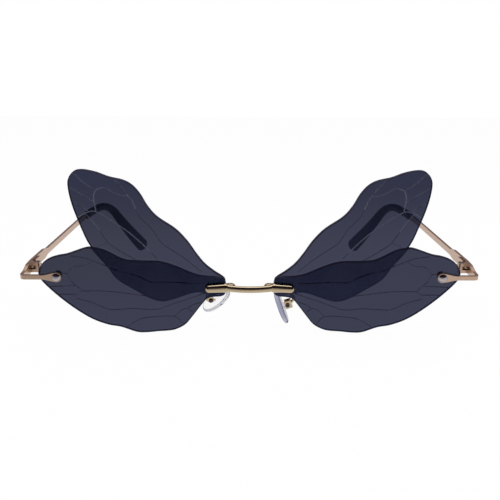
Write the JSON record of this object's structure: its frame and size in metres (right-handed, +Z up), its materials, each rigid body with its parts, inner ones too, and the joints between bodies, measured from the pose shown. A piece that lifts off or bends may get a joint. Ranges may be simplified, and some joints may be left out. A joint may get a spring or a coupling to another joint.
{
  "type": "rimless sunglasses",
  "caption": "Rimless sunglasses with wing-shaped tinted sheets overlapped in pairs, a bar bridge with rocking nose pads, and temples that fold on barrel hinges.",
  "frame": {"origin": "middle of the whole part in X and Y, on the surface that it stands on, with the temples open and standing on the lower edges of the hindwings and on the ends of the temple tips", "axes": "+X across the face, to the right in the picture; +Y from the front of the lenses back along the temples; +Z up"},
  "size_m": [0.1522, 0.1362, 0.0563],
  "materials": {
    "gold_metal": "polished pale gold plating",
    "rose_metal": "satin rose gold plating",
    "silver_screw": "bright plated steel",
    "tinted_sheet": "transparent smoke-blue tint, polished",
    "clear_plastic": "clear, polished",
    "clear_silicone": "clear, soft, slightly satin",
    "black_tip": "glossy black moulding"
  },
  "bodies": {
    "front": {"bridge": "gold_metal", "stud_bushings": "clear_plastic", "stud_washers": "silver_screw", "stud_nuts": "gold_metal", "left_forewing": "tinted_sheet", "right_forewing": "tinted_sheet", "left_hindwing": "tinted_sheet", "right_hindwing": "tinted_sheet", "left_endpiece": "rose_metal", "right_endpiece": "rose_metal", "left_lens_screw": "silver_screw", "right_lens_screw": "silver_screw", "lens_bushings": "clear_plastic", "lens_washers": "silver_screw", "lens_nuts": "silver_screw", "left_pad_arm": "gold_metal", "right_pad_arm": "gold_metal", "left_pad_screw": "silver_screw", "right_pad_screw": "silver_screw", "left_hinge_screw": "silver_screw", "right_hinge_screw": "silver_screw"},
    "left_arm": {"left_temple": "rose_metal", "left_temple_tip": "black_tip"},
    "right_arm": {"right_temple": "rose_metal", "right_temple_tip": "black_tip"},
    "left_pad": {"left_nose_pad": "clear_silicone", "left_pad_insert": "clear_plastic"},
    "right_pad": {"right_nose_pad": "clear_silicone", "right_pad_insert": "clear_plastic"}
  },
  "joints": [
    {"name": "left_hinge", "type": "hinge", "parent": "front", "child": "left_arm", "pos_m": [-0.073, -0.05509, 0.02129], "axis": [0, 0.0793, -0.9969], "range_deg": [0, 78]},
    {"name": "right_hinge", "type": "hinge", "parent": "front", "child": "right_arm", "pos_m": [0.073, -0.05509, 0.02129], "axis": [0, -0.0793, 0.9969], "range_deg": [0, 83]},
    {"name": "left_pad_rock", "type": "hinge", "parent": "front", "child": "left_pad", "pos_m": [-0.0132, -0.05658, 0.01091], "axis": [0.0652, 0.7719, 0.6324], "range_deg": [-12, 12]},
    {"name": "right_pad_rock", "type": "hinge", "parent": "front", "child": "right_pad", "pos_m": [0.0132, -0.05626, 0.00843], "axis": [0.0413, 0.9973, 0.0607], "range_deg": [-12, 12]}
  ]
}
